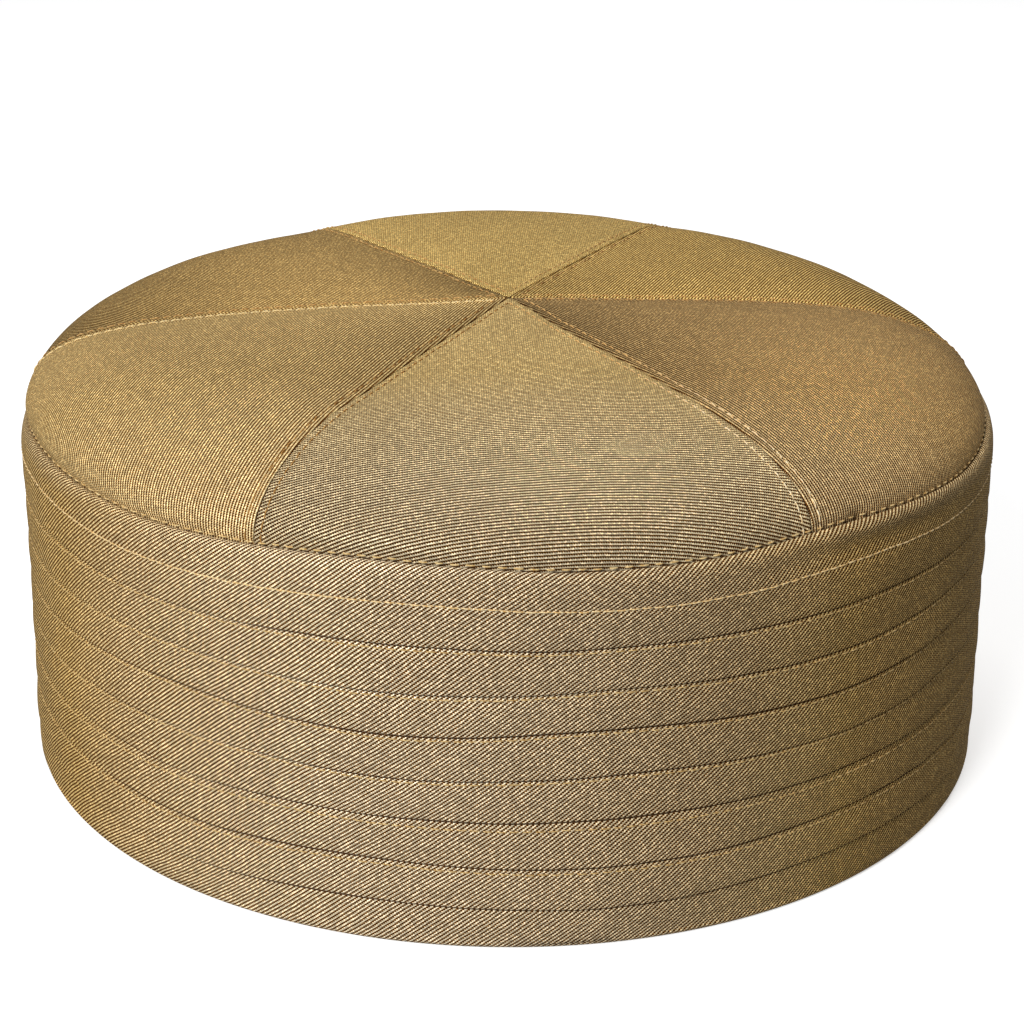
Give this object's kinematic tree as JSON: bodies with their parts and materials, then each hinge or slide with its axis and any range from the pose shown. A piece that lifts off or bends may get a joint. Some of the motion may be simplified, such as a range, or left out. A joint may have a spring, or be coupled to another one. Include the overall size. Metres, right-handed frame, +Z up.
{
  "type": "prayer cap",
  "caption": "Round brimless prayer cap with a padded, nearly flat crown of wedge panels and an upright side band with horizontal tucks, open below for the head.",
  "frame": {"origin": "centre of the hem circle, on the surface that the cap rests on", "axes": "+Z up through the crown, -Y towards the front that the picture shows, +X to the right in that view"},
  "size_m": [0.1848, 0.1848, 0.0851],
  "materials": {
    "gold_twill": "satin-like twill of light tan and dark brown yarn, old gold from a distance",
    "stitch_thread": "light gold sewing thread with a soft sheen"
  },
  "bodies": {
    "root": {"crown_panel_front": "gold_twill", "crown_panel_front_right": "gold_twill", "crown_panel_back_right": "gold_twill", "crown_panel_back": "gold_twill", "crown_panel_back_left": "gold_twill", "crown_panel_front_left": "gold_twill", "side_band": "gold_twill"}
  },
  "joints": []
}
